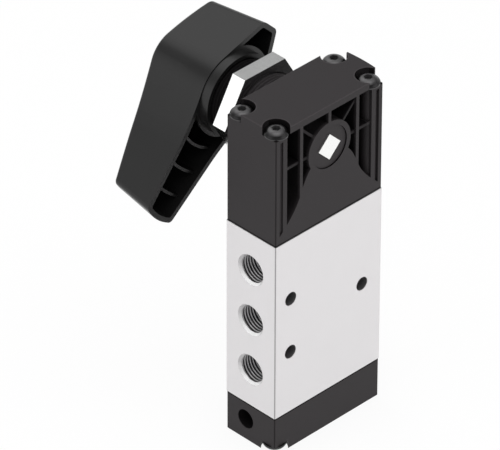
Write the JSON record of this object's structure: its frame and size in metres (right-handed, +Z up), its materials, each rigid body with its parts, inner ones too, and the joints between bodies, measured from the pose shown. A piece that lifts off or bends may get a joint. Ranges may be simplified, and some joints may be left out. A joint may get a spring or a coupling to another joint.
{
  "type": "hand lever air valve",
  "caption": "Hand lever spool valve for compressed air: an aluminium body with threaded side ports, a black ribbed lever housing, a panel nut and a cup shaped lever.",
  "frame": {"origin": "middle of the base's flat underside", "axes": "+X across the wide face, +Y towards the lever, +Z up through the ports to the lever housing"},
  "size_m": [0.0734, 0.0823, 0.1512],
  "materials": {
    "aluminium_body": "fine blasted, clear anodised",
    "black_moulding": "glass filled plastic, fine grain",
    "lever_moulding": "fine grain plastic",
    "nut_metal": "bright plated",
    "shaft_steel": "machined",
    "screw_steel": "dark plated",
    "seal_rubber": "satin",
    "bearing_plastic": "natural acetal",
    "bronze": "sintered",
    "spool_aluminium": "ground"
  },
  "bodies": {
    "valve": {"valve_body": "aluminium_body", "base_gasket": "seal_rubber", "housing_gasket": "seal_rubber", "base_cap": "black_moulding", "vent_filter": "bronze", "base_screws": "screw_steel", "top_screws": "screw_steel", "spool_seals": "seal_rubber", "spool_cages": "bearing_plastic", "lower_guide": "bearing_plastic", "upper_guide": "bearing_plastic", "actuator_housing": "black_moulding", "detent_ball": "shaft_steel", "detent_spring": "shaft_steel", "detent_plug": "screw_steel", "panel_nut": "nut_metal", "neck_bush": "bearing_plastic", "neck_seal": "seal_rubber"},
    "hand_lever": {"rotor": "black_moulding", "rotor_o_ring": "seal_rubber", "drive_shaft": "shaft_steel", "lever": "lever_moulding", "lever_washer": "shaft_steel", "lever_screw": "screw_steel", "lever_cap": "lever_moulding"},
    "spool_group": {"spool": "spool_aluminium", "yoke": "spool_aluminium", "yoke_pin": "shaft_steel"}
  },
  "joints": [
    {"name": "lever_turn", "type": "hinge", "parent": "valve", "child": "hand_lever", "pos_m": [0, 0, 0.1283], "axis": [0, -1, 0], "range_deg": [0, 90]},
    {"name": "spool_slide", "type": "slide", "parent": "valve", "child": "spool_group", "axis": [0, 0, 1], "range_m": [-0.0001, 0.0044]}
  ],
  "couplings": [
    {"joint": "spool_slide", "follows": "lever_turn", "m_per_rad": 0.002701}
  ]
}
